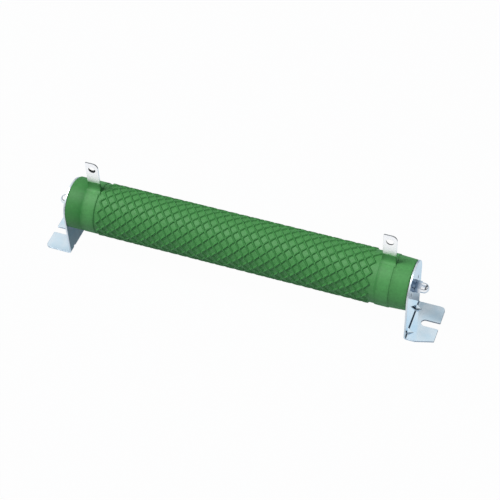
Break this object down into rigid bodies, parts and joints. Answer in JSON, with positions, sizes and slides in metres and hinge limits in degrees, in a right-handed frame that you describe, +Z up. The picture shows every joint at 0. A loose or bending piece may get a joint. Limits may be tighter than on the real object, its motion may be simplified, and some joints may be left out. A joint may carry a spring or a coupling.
{
  "type": "corrugated wirewound resistor",
  "caption": "Long coated ceramic tube with a crimped ribbon wound on edge in a diamond net, a lug near each end, and footed end brackets with open slots.",
  "frame": {"origin": "centre of the box's base, on the plane the feet stand on, midway along the tube", "axes": "+X along the tube, +Z up with the lugs, -Y towards the side the picture shows"},
  "size_m": [0.3852, 0.051, 0.1058],
  "materials": {
    "coated_ceramic": "baked green silicone coating, satin",
    "coated_ribbon": "resistance alloy strip under the same green coating",
    "tinned_terminal": "tinned steel strip, green coated up to the lug's base",
    "zinc_plated_steel": "bright blue-white zinc plate",
    "gasket_board": "pressed mica board, matte",
    "plated_fastener": "bright nickel plate"
  },
  "bodies": {
    "root": {"ceramic_tube": "coated_ceramic", "resistance_ribbon": "coated_ribbon", "terminal_band_left": "tinned_terminal", "terminal_band_right": "tinned_terminal", "mounting_bracket_left": "zinc_plated_steel", "mounting_bracket_right": "zinc_plated_steel", "end_gasket_left": "gasket_board", "end_gasket_right": "gasket_board", "through_rod": "plated_fastener", "flat_washer_left": "plated_fastener", "flat_washer_right": "plated_fastener", "cap_nut_left": "plated_fastener", "cap_nut_right": "plated_fastener"}
  },
  "joints": []
}
